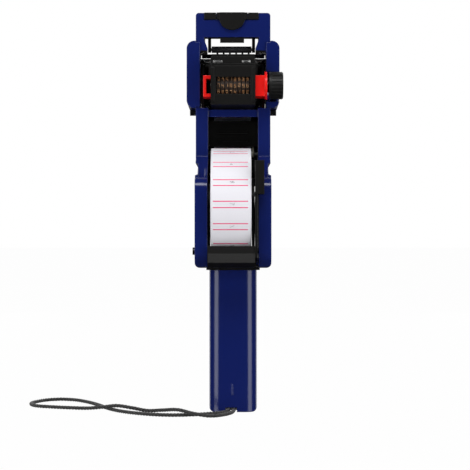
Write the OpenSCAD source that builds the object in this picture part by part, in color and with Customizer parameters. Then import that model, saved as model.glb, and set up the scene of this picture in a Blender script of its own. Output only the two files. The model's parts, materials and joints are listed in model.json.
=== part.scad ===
// Hand price label maker, standing on the end of its handle.
// X is the width, +X is the knob's side. -Y is the label roll's side and +Y the trigger's.
// +Z runs up to the nose.
// The origin is the middle of the handle's end, on the surface it stands on.

/* [Frame] */
// Height of the whole frame, from handle end to nose
frame_h = 206.4; // [206:0.1:207]
// Half width of the frame's walls
wall_x = 19.3; // [19.2:0.1:19.4]
// Thickness of the moulded walls
skin = 1.9; // [1.7:0.1:2]
// Width of the handle
grip_w = 24.8; // [24.6:0.1:26]
// Depth of the handle, front to back
grip_d = 26; // [25:0.5:27]

/* [Label roll] */
// Outer radius of the label roll
roll_r = 30.5; // [24:0.5:30.5]
// Width of the label roll
roll_w = 20.6; // [20:0.1:20.8]
// Radius of the roll's card core
core_r = 12.7; // [12.5:0.1:13.5]

/* [Print head] */
// Number of digit bands
band_count = 8; // [6:1:8]
// Pitch of the digit bands
band_pitch = 2.1; // [2:0.05:2.15]
// Diameter of the selector knob
knob_d = 14; // [12:0.5:14]

/* [Trigger] */
// Width of the trigger's grip
trigger_w = 19.4; // [16:0.2:19.6]

/* [Lanyard] */
// Diameter of the wrist cord
cord_d = 2; // [1.8:0.1:2]

/* [Hidden] */
$fn = 48;
e = 0.01;                      // overlap that joins solids of one moulding
grip_front = -grip_d / 2;
body_front = -12;              // front edge of the upper walls
bay_front = -33;               // front edge of the roll bay
body_back = 24;                // back edge of the walls
bay_bottom = 74.8;
bay_top = 120.6;
waist_top = 128.2;
bridge = [152.7, 156.4];       // low and high edge of the bridge under the head
head_low = 157.5;
head_top = 184;
window = [188.7, 193.9];       // the see-through gap under the nose
floor_plate = [73.4, 75.1];    // plate under the roll bay
waist = [121, 128.8];          // low and high edge of the step in the side walls
waist_x = 18;
inner_x = 12.9;                // inner faces of the roll bay
arm_x = [14.9, 16.7];          // the slot that the trigger's arms run in
lever_axis = [2, 156.2];       // Y and Z of the trigger's pivot
head_axis = [2, 180];          // Y and Z of the print head's pins
pin_r = 1.5;
roll_axis = [-9, 106];
roll_x0 = -11.3;
holder_axis = [-22, 83.3];
band_axis = [-18, 168.1];      // front wheels of the bands, and the knob
type_axis = [1.2, 170];         // back wheels of the bands, at the printing face
notch_y = band_axis[0] + 5.8;  // how far back the knob travels
notch_r = knob_d / 2 + 0.8;
screw_y = 13.5;                // screws of the head covers
screws_z = [162.5, 186.6];
band_r = 6.2;
type_r = 6.2;
bands_w = band_count * band_pitch;
head_x = 11.25;
knob_x = [18.4, 25.6];
ink_axis = [-3, 195.2];
ink_z = 188.6;
ink_r = 1.7;
feed_axis = [14, 144];
feed_r = 6.5;
pawl_axis = [6.2, 134.6];
cover_axis = [28, 114];
cover_top = 190;
applicator = [18.5, 201.7];
spring_seat = [7, 39.5];       // Y of the trigger spring's two ends
spring_z = 58;
post_axis = [grip_front + 5, 1.6];   // pin that holds the wrist cord
tip_y = 52;                    // back of the trigger's end
groove = 0.5;                  // depth of the grooves on the outside

// ---- helpers ----

// Extrudes a (Y, Z) outline along X, from x0 to x1.
module across(x0, x1) {
    translate([x0, 0, 0]) rotate([90, 0, 90]) linear_extrude(x1 - x0) children();
}

// The same outline on both sides of the middle plane.
module both(x0, x1) {
    across(x0, x1) children();
    across(-x1, -x0) children();
}

module box(x, y, z) {
    translate([x[0], y[0], z[0]]) cube([x[1] - x[0], y[1] - y[0], z[1] - z[0]]);
}

// A round bar along X at a (Y, Z) axis.
module bar(axis, r, x0, x1) {
    translate([x0, axis[0], axis[1]]) rotate([0, 90, 0]) cylinder(r = r, h = x1 - x0);
}

// A rectangle from (u0, v0) to (u1, v1) with round corners, exact arcs.
module round_rect(u, v, r) {
    translate([u[0] + r, v[0]]) square([u[1] - u[0] - 2 * r, v[1] - v[0]]);
    translate([u[0], v[0] + r]) square([u[1] - u[0], v[1] - v[0] - 2 * r]);
    for (a = [u[0] + r, u[1] - r], b = [v[0] + r, v[1] - r]) translate([a, b]) circle(r);
}

// A disc and a smaller one joined by a straight web, in the (Y, Z) plane.
module link(a, ra, b, rb) {
    d = b - a;
    len = norm(d);
    n = [-d[1], d[0]] / len;
    tilt = (ra - rb) / len;
    side = sqrt(1 - tilt * tilt);
    u = d / len;
    p = n * side + u * tilt;
    q = -n * side + u * tilt;
    // the web's corners stay just inside the discs
    inset = 0.98;
    polygon([a + p * ra * inset, b + p * rb * inset, b + q * rb * inset, a + q * ra * inset]);
    translate(a) circle(ra);
    translate(b) circle(rb);
}

// ---- frame ----

module wall_outline() {
    difference() {
        union() {
            translate([bay_front, bay_bottom]) square([body_back - bay_front, bay_top - bay_bottom]);
            polygon([
                [body_front, bay_top - 10], [body_back, bay_top - 10], [body_back, frame_h - 7],
                [body_back - 6, frame_h], [body_front, frame_h]
            ]);
            polygon([
                [bay_front + 4, bay_top - e], [body_front + 1, waist_top + 3], [body_front + 1, bay_top - e]
            ]);
        }
        translate([bay_front, bay_bottom]) corner_cut(8);
        translate([bay_front, bay_top]) mirror([0, 1]) corner_cut(6);
    }
}

// What rounding a corner at the origin takes away.
module corner_cut(r) {
    difference() {
        translate([-1, -1]) square(r + 1);
        translate([r, r]) circle(r);
    }
}

module rounded_grip(w, y0, y1, r) {
    translate([-w / 2, y0 + r]) square([w, y1 - y0 - r]);
    translate([-w / 2 + r, y0]) square([w - 2 * r, r + e]);
    for (s = [-1, 1]) translate([s * (w / 2 - r), y0 + r]) circle(r);
}

module handle() {
    shoulder = 6.2;
    floor_z = 3;
    end_r = 2.4;
    difference() {
        linear_extrude(floor_plate[0] + e) rounded_grip(grip_w, grip_front, -grip_front, shoulder);
        translate([0, 0, floor_z]) linear_extrude(bay_bottom)
            rounded_grip(grip_w - 4.4, grip_front + 2.4, 20, shoulder - 2.2);
        // the way out for the wrist cord, and the pocket round the post that holds it
        box([-4, 2], [grip_front - 1, grip_front + 8], [-1, 2.4]);
        box([-5, 3], [grip_front + 3, grip_front + 8], [-1, floor_z + 1]);
        bar(post_axis, 0.9, -7.6, 5.6);
        // round lower corners
        for (s = [-1, 1]) scale_x(s) along_y([
            [grip_w / 2 - end_r, -1], [grip_w / 2 + 1, -1], [grip_w / 2 + 1, end_r],
            each [for (a = [0 : -15 : -90]) [grip_w / 2 - end_r + end_r * cos(a), end_r + end_r * sin(a)]]
        ]);
        // room for the trigger's web when it is squeezed
        box([-20, 20], [5, 20], [64, 100]);
    }
    // small raised mark near the end of the handle
    box([-0.7, -0.1], [grip_front - 0.25, grip_front + 0.5], [8.8, 14.2]);
    // plate between the handle and the roll bay
    box([-inner_x - 0.9, inner_x + 0.9], [grip_front, 5], floor_plate);
    // seat of the trigger's spring, with the peg inside its coils
    box([-6, 6], [grip_front + 2, spring_seat[0]], [spring_z - 6, spring_z + 6]);
    translate([0, spring_seat[0] - e, spring_z]) rotate([-90, 0, 0]) cylinder(r = 3, h = 4);
}

module main_frame() {
    color([0.07, 0.11, 0.4]) difference() {
        union() {
            difference() {
                both(wall_x - skin, wall_x) wall_outline();
                // the middle of the head region is open, behind the side covers
                both(wall_x - 3, wall_x + 1) translate([-8, 166]) square([19, 17]);
            }
            // lining of the step
            for (s = [-1, 1]) scale_x(s)
                box([waist_x - 1, wall_x - skin + 0.05], [body_front, body_back - 1],
                    [waist[0] - 1, waist[1] + 1]);
            // inner walls of the roll bay
            both(inner_x, inner_x + 1.5) {
                difference() {
                    wall_outline();
                    translate([-40, bridge[1]]) square([80, 60]);
                    // open behind, for the trigger's web
                    translate([5.5, 70]) square([40, 25]);
                }
                translate(lever_axis) circle(3.6);
            }
            // front faces that close the hollow walls
            for (s = [-1, 1]) scale_x(s) {
                box([inner_x, wall_x - 0.1], [bay_front, bay_front + skin], [bay_bottom + 8, bay_top - 6]);
                across(inner_x, wall_x - 0.1) bay_lip(8, bay_bottom, 1);
                across(inner_x, wall_x - 0.1) bay_lip(6, bay_top, -1);
                box([inner_x, wall_x], [body_front, body_front + skin], [waist_top + 2, head_low - 0.3]);
                across(inner_x, wall_x - 0.1) waist_web();
                box([s < 0 ? 15 : 13.3, wall_x], [body_front, body_front + skin], [head_top + 2, frame_h]);
                box([s < 0 ? 15 : 13.3, wall_x - 0.1], [body_front, body_back - 8],
                    [window[0] - 0.6, window[1] + 4.2]);
            }
            // gussets at the window's lower corners
            gusset(-1, 13.2, 15.1);
            gusset(1, 11.6, 13.4);
            // bridge under the print head
            box([-inner_x - 1, inner_x + 1], [body_front + 1, body_front + 4], bridge);
            // nose: front panel, top and the sloping underside
            box([-wall_x + 1, wall_x - 1], [body_front, body_front + 2.4], [window[1], frame_h - 3.6]);
            box([-wall_x + 1, wall_x - 1], [body_front + 1.3, body_front + 2.4],
                [frame_h - 3.7, frame_h - 0.2]);
            box([-wall_x + 1, wall_x - 1], [body_front + 2, body_back - 9], [frame_h - 2.2, frame_h]);
            // lower cross wall behind the roll
            box([-wall_x + 1, wall_x - 1], [body_back - skin, body_back],
                [bay_bottom + 50, bay_bottom + 62]);
            handle();
            // ears that hold the base cover's pin
            both(wall_x - skin, wall_x) difference() {
                union() {
                    translate([body_back - 4, cover_axis[1] - 3.6])
                        square([cover_axis[0] - body_back + 4, 7.2]);
                    translate(cover_axis) circle(3.6);
                }
                translate(cover_axis) circle(1.52);
            }
        }
        bar(lever_axis, pin_r + 0.02, -30, 30);
        bar(holder_axis, pin_r + 0.02, -30, 30);
        bar(ink_axis, 1.02, -18.6, 18.6);
        bar(feed_axis, 1.52, -18.6, 18.6);
        bar(applicator, 1.02, -18.6, 18.6);
        bar(pawl_axis, 0.9, inner_x - 1, inner_x + 2);
        // room for the knob as the head moves
        bar([notch_y, band_axis[1]], notch_r, 15, 30);
        box([15, 30], [body_front - 2, notch_y], [band_axis[1] - notch_r, band_axis[1] + notch_r]);
        // screw holes for the head covers
        for (s = [-1, 1], z = screws_z) bar([screw_y, z], 0.9, s > 0 ? 15 : -25, s > 0 ? 25 : -15);
        // the walls step inwards at the waist, and their outer corners are round
        for (s = [-1, 1]) scale_x(s) {
            along_y([
                [waist_x, waist[0] + 1.4], [waist_x, waist[1] - 0.7],
                [wall_x + 1, waist[1]], [wall_x + 1, waist[0]]
            ]);
            corner_along_y(bay_bottom, 1, 2.6);
            corner_along_y(frame_h, -1, 1.6);
        }
        // shallow grooves on the outside
        for (s = [-1, 1]) scale_x(s) {
            across(wall_x - groove, wall_x + 1) translate(roll_axis) ring(13.5, 12.3);
            across(wall_x - groove, wall_x + 1) translate(roll_axis) ring(5.2, 4.2);
            for (z = [195.4, 198.4, 201.4]) across(wall_x - groove, wall_x + 1) groove_line([-8, z], 22);
            for (y = [-4, 16]) across(wall_x - groove, wall_x + 1) groove_line([y, 132.4], 1.2, 17);
            for (z = [20 : 5 : 55])
                across(grip_w / 2 - groove, grip_w / 2 + 1) groove_line([-4.5, z], 12.5);
        }
        // opening in the nose panel for the latch's tongue
        box([-7, 6], [body_front - 1, body_front + 1.2], [frame_h - 3.7, frame_h + 1]);
    }
}

module ring(outer, inner) {
    difference() {
        circle(outer);
        circle(inner);
    }
}

// The outline of a straight groove with its low corner at a (Y, Z) point.
module groove_line(at, length, height = 1.2) {
    translate(at) square([length, height]);
}

// A sloping web between the nose's leg at x1 and the window's lower corner.
module gusset(s, x0, x1) {
    foot = head_top + 1.2;
    scale_x(s) translate([0, body_front + skin, 0]) rotate([90, 0, 0]) linear_extrude(skin)
        polygon([[x0, foot], [x1 + 0.1, foot], [x1 + 0.1, window[1] - 0.7], [x0, window[0] - 0.6]]);
}

// Extrudes an (X, Z) outline through the whole depth.
module along_y(points) {
    translate([0, 60, 0]) rotate([90, 0, 0]) linear_extrude(120) polygon(points);
}

// Rounds the wall's outer edge at height z; up is 1 at a lower edge and -1 at an upper one.
module corner_along_y(z, up, r) {
    translate([wall_x, 60, z]) rotate([90, 0, 0]) linear_extrude(120)
        mirror([1, 0]) mirror([0, up > 0 ? 0 : 1]) corner_cut(r);
}

module scale_x(s) {
    if (s < 0) mirror([1, 0, 0]) children();
    else children();
}

// A quarter ring that carries the front face round a corner of the roll bay.
module bay_lip(r, z, up) {
    translate([bay_front + r, z + up * r]) intersection() {
        difference() {
            circle(r);
            circle(r - skin);
        }
        translate([-r, up > 0 ? -r : 0]) square([r, r]);
    }
}

module waist_web() {
    a = [bay_front + 6, bay_top - skin];
    b = [body_front, waist_top + 2];
    polygon([a, a + [0, skin], b + [0, 2], b + [skin, 2], b + [skin, 0]]);
}

// ---- covers on the two sides of the head ----

module head_cover(side, notch) {
    lip = 17.2;
    outer = 24;
    front = body_front - 1;
    z = [157.2, 191.9];
    color([0.07, 0.11, 0.4]) scale_x(side) difference() {
        union() {
            intersection() {
                translate([0, 18, 0]) rotate([90, 0, 0]) linear_extrude(18 - front)
                    round_rect([outer - 12, outer], z, 4);
                box([wall_x + 0.05, outer], [front, 18], z);
            }
            // lip in front of the frame's wall
            box([lip, wall_x + 1], [front, body_front - 0.05], [z[0] + 0.8, z[1] - 0.8]);
        }
        translate([0, 16.4, 0]) rotate([90, 0, 0]) linear_extrude(16.4 - front - 1.6)
            round_rect([outer - 12, outer - 1.8], [z[0] + 1.8, z[1] - 1.8], 2.4);
        // the trigger's pivot pin comes out under the cover
        bar(lever_axis, 2.1, wall_x, outer + 1);
        if (notch) {
            bar([notch_y, band_axis[1]], notch_r, 16, 26);
            box([16, 26], [body_front - 2, notch_y], [band_axis[1] - notch_r, band_axis[1] + notch_r]);
        }
        for (screw_z = screws_z) {
            bar([screw_y, screw_z], 0.9, 15, 30);
            bar([screw_y, screw_z], 1.9, outer - 1, 30);
        }
        // sunk panel on the outside
        across(outer - groove, outer + 1) round_rect([notch ? -2.6 : -9.4, 10], [163.4, 185.6], 2);
    }
    // posts that the screws go through
    color([0.07, 0.11, 0.4]) scale_x(side) for (screw_z = screws_z) difference() {
        bar([screw_y, screw_z], 2, wall_x + 0.05, outer - 1.7);
        bar([screw_y, screw_z], 0.9, 15, 30);
    }
}

module cover_screw(side, y, z) {
    scale_x(side) {
        bar([y, z], 0.88, 17.6, 23.1);
        difference() {
            bar([y, z], 1.7, 23, 23.9);
            translate([23.5, y - 1.3, z - 0.2]) cube([1, 2.6, 0.4]);
            translate([23.5, y - 0.2, z - 1.3]) cube([1, 0.4, 2.6]);
        }
    }
}

module cover_screws() {
    color("silver") for (s = [-1, 1], z = screws_z) cover_screw(s, screw_y, z);
}

// ---- nose ----

// The black bar across the nose's front edge.
module nose_cap() {
    color([0.13, 0.13, 0.12]) {
        for (x = [[-15, -8.7], [7.7, 13.2]])
            box(x, [body_front - 0.6, body_front + 0.9], [frame_h - 3.5, frame_h + 0.1]);
    }
}

module cover_latch() {
    color([0.13, 0.13, 0.12]) translate([-0.5, 0, 0]) {
        translate([0, body_front - 0.1, 0]) rotate([90, 0, 0]) linear_extrude(1.4) {
            intersection() {
                translate([0, frame_h - 2.2]) circle(6.8);
                translate([-8, frame_h - 14]) square([16, 14.1]);
            }
        }
        for (s = [-1, 1]) box(
            [s * 7.1 - 0.9, s * 7.1 + 0.9],
            [body_front - 0.9, body_front - 0.1], [frame_h - 3.5, frame_h + 0.1]
        );
        // tongue through the panel and the hook that hangs under the nose
        box([-6.1, 6.1], [body_front - 0.2, body_front + 1], [frame_h - 3.4, frame_h - 0.2]);
    }
}

// The catch that the latch's tongue holds, under the nose.
module latch_striker() {
    color([0.1, 0.1, 0.1]) translate([-0.5, 0, 0]) {
        box([-6.2, 6.2], [body_front + 2.4, body_front + 3.6], [191.4, 197]);
        box([-6.2, 6.2], [body_front + 0.4, body_front + 2.5], [191.4, 193.8]);
    }
}

// ---- label path ----

module label_guide() {
    color([0.09, 0.085, 0.08]) difference() {
        union() {
            box([-inner_x + 0.1, inner_x - 0.1], [6, 7.6], [138.4, 152]);
            for (s = [-1, 1]) scale_x(s) box([inner_x - 1.6, inner_x - 0.1], [6, 20], [138.4, 152]);
            for (z = [141, 145.4]) box([-8, 8], [5.2, 6.1], [z, z + 1.2]);
        }
        bar(feed_axis, 1.52, -30, 30);
        bar(feed_axis, feed_r + 0.4, -7, 7);
    }
}

module platen() {
    color([0.12, 0.12, 0.12]) {
        box([-wall_x + skin + 0.1, wall_x - skin - 0.1], [15.2, 17], [162, 184]);
        box([-11, 11], [17, 18.4], [176, 184]);
    }
}

module platen_pad() {
    color([0.35, 0.33, 0.3]) box([-10.5, 10.5], [14.2, 15.2], [163, 182]);
}

module peel_bar() {
    color("silver") bar([16.2, 185.3], 1.2, -wall_x + skin + 0.1, wall_x - skin - 0.1);
}

module feed_axle() {
    color("silver") bar(feed_axis, 1.47, -18.5, 18.5);
}

module feed_pawl() {
    color([0.85, 0.85, 0.82]) across(9.8, 11.1) difference() {
        union() {
            translate(pawl_axis) circle(2);
            polygon([[5, 135.8], [7.4, 133.4], [10.9, 138.7], [10.4, 139.2]]);
        }
        translate(pawl_axis) circle(0.92);
    }
}

module pawl_pin() {
    color("silver") bar(pawl_axis, 0.88, 9.5, inner_x + 1.4);
}

module pivot_pin(side) {
    color([0.1, 0.1, 0.1]) scale_x(side) {
        bar(lever_axis, pin_r - 0.03, inner_x - 0.2, wall_x + 0.5);
        bar(lever_axis, 1.8, wall_x + 0.02, wall_x + 3.4);
    }
}

module holder_pin() {
    color([0.1, 0.1, 0.1]) {
        bar(holder_axis, pin_r - 0.03, -20.4, roll_x0 - 0.4);
        bar(holder_axis, 1.9, -20.6, -19.35);
        bar(holder_axis, pin_r - 0.03, roll_x0 + roll_w + 0.3, 18.8);
    }
}

module lanyard_post() {
    color("silver") bar(post_axis, 0.88, -7.5, 5.4);
}

// The strip from the roll, over the feed wheel and the platen, round the peel bar and back.
module label_strip() {
    t = 0.25;
    path = [
        [22.2, 106], [21.6, 125], [21.4, 150], [18.2, 158.5], [13.8, 161.4], [13.8, 182.4], [15.3, 187]
    ];
    color("white") across(-10.4, 9.6) polygon(concat(
        path, [for (i = [len(path) - 1 : -1 : 0]) path[i] - [t, 0]]
    ));
}

// ---- trigger ----

module trigger() {
    knee = [24, 92];
    tip_z = 14;
    color([0.07, 0.11, 0.4]) difference() {
        union() {
            // arms beside the roll bay and up to the head
            both(arm_x[0], arm_x[1]) {
                link(lever_axis, 5, head_axis, 3.6);
                link(lever_axis, 5, knee, 6);
                link(knee, 6, [32, 80], 6);
            }
            // web that joins the arms under the roll
            box([-arm_x[1], arm_x[1]], [28, 30.2], [73.6, 79]);
            // grip: a channel that opens towards the handle
            for (s = [-1, 1]) scale_x(s) across(trigger_w / 2 - 2, trigger_w / 2) grip_side(tip_z);
            across(-trigger_w / 2, trigger_w / 2) grip_back(tip_z);
            across(-trigger_w / 2, trigger_w / 2) translate([tip_y - 11, tip_z]) square([10, 1.8]);
            // peg of the spring
            translate([0, spring_seat[1] - 4, spring_z]) rotate([-90, 0, 0]) cylinder(r = 3, h = 5);
        }
        bar(lever_axis, pin_r + 0.03, -30, 30);
        bar(head_axis, pin_r + 0.05, -30, 30);
        // finger grooves across the back of the grip
        for (i = [7 : 2 : 19]) across(-7.4, 7.4) translate(grip_line[i]) circle(0.7);
    }
}

// Back of the grip, from its top to its tip.
grip_line = smooth([
    [32, 80.5], [35.2, 78.5], [39, 70], [43.5, 52], [49, 32], [tip_y + 0.4, 20], [tip_y, 14.5]
], 4);
// Front edge of the grip's sides, from the tip to the top.
front_line = smooth([[41, 14], [39, 19], [35, 31], [30.8, 47], [28.4, 60], [27.6, 70], [28, 79]], 3);

module grip_side(tip_z) {
    polygon(concat(grip_line, [[tip_y - 1, tip_z]], front_line));
}

module grip_back(tip_z) {
    inner = [for (i = [len(grip_line) - 2 : -1 : 0]) grip_line[i] - [2.2, 0.6]];
    polygon(concat(grip_line, [[tip_y - 1, tip_z], [tip_y - 3.4, tip_z]], inner));
}

// Compression spring between the handle's cross wall and the trigger.
module trigger_spring() {
    turns = 7;
    steps = 14;
    wire = 0.55;
    coil = 4.2;
    length = spring_seat[1] - spring_seat[0];
    points = [for (i = [0 : turns * steps]) let (a = 360 * i / steps)
        [coil * cos(a), spring_seat[0] + wire + (length - 2 * wire) * i / (turns * steps),
            spring_z + coil * sin(a)]];
    color("silver") tube(points, wire, 6);
}

// ---- print head ----

module capsule(inflate) {
    link(band_axis, band_r + inflate, type_axis, type_r + inflate);
}

module head_housing() {
    color([0.12, 0.12, 0.12]) {
        difference() {
            union() {
                box([-head_x, head_x], [-26.6, 0.4], [head_low, head_top - 1.6]);
                for (s = [-1, 1]) scale_x(s)
                    box([head_x - 1.7, head_x], [-27.1, -26], [head_low + 1.6, 176.4]);
            }
            // room for the bands
            across(-bands_w / 2 - 0.3, bands_w / 2 + 0.3) capsule(0.7);
            // window that shows the digits, at the front
            box([-bands_w / 2 - 0.3, bands_w / 2 + 0.3], [-30, -18], [163, 171.6]);
            // open underside where the type meets the label
            box([-bands_w / 2 - 0.3, bands_w / 2 + 0.3], [-1, 8], [head_low + 3, 177.5]);
            bar(band_axis, 2.05, -30, 30);
            bar(type_axis, 1.05, -30, 30);
            // shoulder above the window, with the face set back over it
            across(-20, 20) polygon([
                [-28, 177.1], [-26.7, 177.1], [-25.4, 178.4], [-23.2, 178.7], [-23.2, 190], [-28, 190]
            ]);
            across(-20, 20) polygon([[-27, 159.6], [-27, 150], [-25.4, 150]]);
        }
    }
}

// The ribbed top of the print head.
module head_cap() {
    color([0.15, 0.15, 0.15]) {
        box([-head_x + 0.4, head_x - 0.4], [-20, -4], [head_top - 1.6, head_top]);
        for (x = [-8 : 3.2 : 8.1]) box([x - 0.5, x + 0.5], [-19, -5], [head_top - e, head_top + 0.7]);
    }
}

module head_side(side) {
    color([0.1, 0.1, 0.1]) scale_x(side) difference() {
        union() {
            across(head_x, head_x + 1.3) round_rect([-12, 6], [160, 183], 3);
            bar(head_axis, 2.8, head_x + 1, arm_x[0] - 0.3);
            bar(head_axis, pin_r, arm_x[0] - 0.4, arm_x[1] + 0.2);
        }
        bar(type_axis, 1.05, 0, 13);
    }
}

module clip_left() {
    color([0.95, 0.06, 0.03]) {
        box([-15.2, -13.6], [-23, -13], [161.8, 172.8]);
        for (z = [161.8, 171]) box([-14, -11.3], [-23, -13], [z, z + 1.8]);
    }
}

module clip_right() {
    color([0.95, 0.06, 0.03]) difference() {
        union() {
            box([head_x + 0.02, 16.1], [-24, -12.6], [162, 172.8]);
            bar(band_axis, 7.2, 16, 17.5);
        }
        bar(band_axis, 2.05, 0, 30);
    }
}

module band(i) {
    x = (i - (band_count + 1) / 2) * band_pitch;
    half = band_pitch / 2 - 0.12;
    color([0.45, 0.28, 0.16]) across(x - half, x + half) belt(band_axis, type_axis, band_r, 1.1);
}

// A closed belt of one thickness round two equal wheels.
module belt(a, b, r, t) {
    d = b - a;
    len = norm(d);
    angle = atan2(d[1], d[0]);
    translate(a) rotate(angle) {
        for (s = [-1, 1]) translate([0, s > 0 ? r - t : -r]) square([len, t]);
        half_ring(r, t);
        translate([len, 0]) mirror([1, 0]) half_ring(r, t);
    }
}

module half_ring(r, t) {
    difference() {
        circle(r);
        circle(r - t);
        translate([e, -r - 1]) square(2 * r + 2);
    }
}

module wheels(axis, r, hole) {
    for (i = [1 : band_count]) {
        x = (i - (band_count + 1) / 2) * band_pitch;
        half = band_pitch / 2 - 0.12;
        difference() {
            bar(axis, r, x - half, x + half);
            bar(axis, hole, x - 2, x + 2);
        }
    }
}

module band_sprockets() {
    color([0.8, 0.8, 0.76]) wheels(band_axis, band_r - 1.15, 2.05);
}

module type_wheels() {
    color([0.8, 0.8, 0.76]) wheels(type_axis, type_r - 1.15, 1.05);
}

module type_axle() {
    color("silver") bar(type_axis, 1, -head_x - 1.2, head_x + 1.2);
}

// Ring that slides with the knob but does not turn.
module selector_collar() {
    color([0.1, 0.1, 0.1]) difference() {
        bar(band_axis, 3.4, 17.55, 18.35);
        bar(band_axis, 2.05, 17, 19);
    }
}

module selector_shaft() {
    color("silver") bar(band_axis, 2, -head_x - 0.2, 19.2);
}

module selector_knob() {
    ribs = 24;
    color([0.1, 0.1, 0.1]) difference() {
        union() {
            bar(band_axis, knob_d / 2 - 0.35, knob_x[0], knob_x[1]);
            bar(band_axis, knob_d / 2, knob_x[0], knob_x[0] + 1.2);
            for (i = [0 : ribs - 1]) translate([knob_x[0], band_axis[0], band_axis[1]])
                rotate([i * 360 / ribs, 0, 0])
                translate([0, knob_d / 2 - 0.75, -0.35]) cube([6.8, 0.75, 0.7]);
        }
        bar(band_axis, 2.02, 17, 19.25);
        bar(band_axis, 4.6, knob_x[1] - 0.6, 26);
    }
}

// ---- ink roller ----

module ink_arms() {
    color([0.08, 0.08, 0.08]) {
        bar(ink_axis, 0.95, -17.2, 17.2);
        for (x = [[-13.1, -11.5], [9.9, 11.5]]) across(x[0], x[1]) difference() {
            link(ink_axis, 2, [ink_axis[0], ink_z], 1.6);
            translate([ink_axis[0], ink_z]) circle(0.85);
        }
    }
}

module ink_core() {
    color([0.8, 0.8, 0.8]) bar([ink_axis[0], ink_z], 0.8, -13, 11.4);
}

module ink_roller() {
    color([0.05, 0.05, 0.05]) difference() {
        bar([ink_axis[0], ink_z], ink_r, -11.2, 9.6);
        bar([ink_axis[0], ink_z], 0.82, -20, 20);
    }
}

// ---- label roll and its holder ----

module roll_holder() {
    right = roll_x0 + roll_w + 0.4;
    color([0.11, 0.11, 0.1]) difference() {
        union() {
            across(-inner_x + 0.2, -inner_x + 1.1) link(roll_axis, 15, holder_axis, 5);
            across(right, right + 1.3) link(roll_axis, 15, holder_axis, 5);
            // bar in front of the roll's lower edge, with a sloping chin
            across(-inner_x + 0.2, right + 1.3) polygon([
                [-38.4, 77.6], [-36.9, 82.3], [-36.3, 86], [-35.2, 86],
                [-35.4, 80], [-25, 76], [-25, 74.9], [-35, 75.2]
            ]);
            for (x = [[-inner_x + 0.2, -inner_x + 1.1], [right, right + 1.3]])
                across(x[0], x[1]) polygon([[-35.4, 84], [-35.4, 80], [-25, 75.4], [-20, 84]]);
        }
        bar(holder_axis, pin_r + 0.03, -30, 30);
    }
}

// The lever at the right, with the thumb tab that pulls the holder open.
module holder_tab() {
    right = roll_x0 + roll_w + 1.7;
    color([0.11, 0.11, 0.1]) {
        across(right, right + 1.2) polygon([
            [-37.2, 80], [-38.4, 96], [-38.4, 128.7], [-34.5, 128.7], [-34.5, 112],
            [-20, 104], [-20, 98], [-34.8, 84], [-35.2, 80.2]
        ]);
        box([right, 15.6], [-39.6, -34.6], [111.8, 128.7]);
    }
}

module roll_hub() {
    color([0.75, 0.75, 0.7]) {
        bar(roll_axis, core_r - 1.6, -inner_x + 1.1, -inner_x + 5);
        bar(roll_axis, core_r - 1.6, roll_x0 + roll_w - 4, roll_x0 + roll_w + 0.4);
    }
}

module label_roll() {
    color("white") difference() {
        bar(roll_axis, roll_r, roll_x0, roll_x0 + roll_w);
        bar(roll_axis, core_r, roll_x0 - 1, roll_x0 + roll_w + 1);
    }
}

module roll_core() {
    color([0.75, 0.68, 0.55]) difference() {
        bar(roll_axis, core_r - 0.02, roll_x0, roll_x0 + roll_w);
        bar(roll_axis, core_r - 1.5, roll_x0 - 1, roll_x0 + roll_w + 1);
    }
}

// ---- feed ----

module feed_wheel() {
    teeth = 6;
    color([0.85, 0.85, 0.82]) difference() {
        union() {
            bar(feed_axis, feed_r - 1.2, -6.5, 6.5);
            for (i = [0 : teeth - 1], x = [-4.5, 3.3]) translate([x, feed_axis[0], feed_axis[1]])
                rotate([i * 360 / teeth + 10, 0, 0]) translate([0, 4, -0.5]) cube([1.2, 2.3, 1]);
        }
        bar(feed_axis, 1.5, -10, 10);
    }
}

module ratchet_wheel() {
    teeth = 12;
    color([0.85, 0.85, 0.82]) translate([9.8, feed_axis[0], feed_axis[1]]) rotate([90, 0, 90])
        linear_extrude(1.3) difference() {
            union() for (i = [0 : teeth - 1])
                rotate(i * 360 / teeth) polygon([[0, 0], [5.6, 0], [3.9, 2.3]]);
            circle(1.5);
        }
}

// ---- base cover ----

module base_cover() {
    w = wall_x - skin - 0.3;
    plate = [25, 27];
    back = 31;
    foot = 118;
    color([0.12, 0.12, 0.12]) difference() {
        union() {
            box([-w, w], plate, [foot, cover_top]);
            both(w - 1.8, w) polygon([
                [plate[0], foot], [back, foot + 4], [back, cover_top - 12],
                [plate[1], cover_top], [plate[0], cover_top]
            ]);
            box([-w, w], [back - 1.4, back], [foot + 4, cover_top - 12]);
            for (z = [130 : 6 : 172]) box([-13, 13], [back - e, back + 0.7], [z, z + 1.6]);
            both(w - 1.8, w) link(cover_axis, 3, [28, foot + 4], 3);
        }
        bar(cover_axis, 1.53, -30, 30);
    }
}

module pressure_plate() {
    color([0.75, 0.75, 0.72]) box([-9, 9], [22.6, 25], [160, 176]);
}

module cover_pin() {
    color("silver") bar(cover_axis, 1.5, -wall_x, wall_x);
}

module applicator_axle() {
    color("silver") bar(applicator, 0.98, -18, 18);
}

module applicator_roller() {
    color([0.15, 0.15, 0.15]) difference() {
        bar(applicator, 2.6, -12, 12);
        bar(applicator, 1.02, -20, 20);
    }
}

// ---- wrist cord ----

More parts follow.
